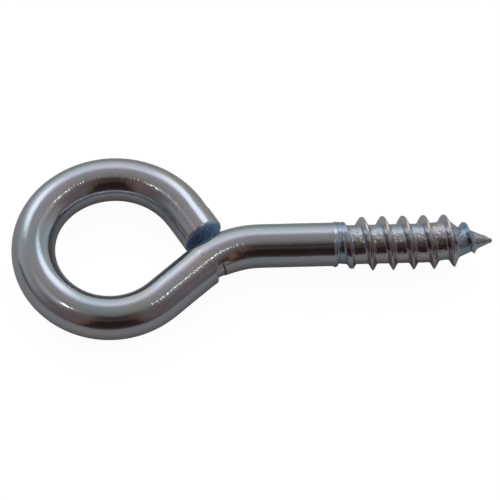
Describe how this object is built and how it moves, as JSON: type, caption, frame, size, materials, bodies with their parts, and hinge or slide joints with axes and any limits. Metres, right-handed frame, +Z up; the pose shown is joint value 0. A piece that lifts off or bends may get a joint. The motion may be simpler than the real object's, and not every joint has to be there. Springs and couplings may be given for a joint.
{
  "type": "screw eye",
  "caption": "Screw eye bent from round steel wire: an open ring on a swan neck, a plain shank and a right-hand wood thread with a gimlet point, bright zinc plated.",
  "frame": {"origin": "on the shank's axis, at the plane where the plain shank ends and the thread starts", "axes": "the screw eye lies flat: +X along the shank towards the point, the ring in the XY plane with its cut end on the +Y side of the neck, +Z up through the ring"},
  "size_m": [0.0605, 0.0248, 0.0068],
  "materials": {
    "zinc_plated_steel": "bright zinc plating with a blue passivation, glossy, over drawn mild steel wire"
  },
  "bodies": {
    "root": {"screw_eye": "zinc_plated_steel"}
  },
  "joints": []
}
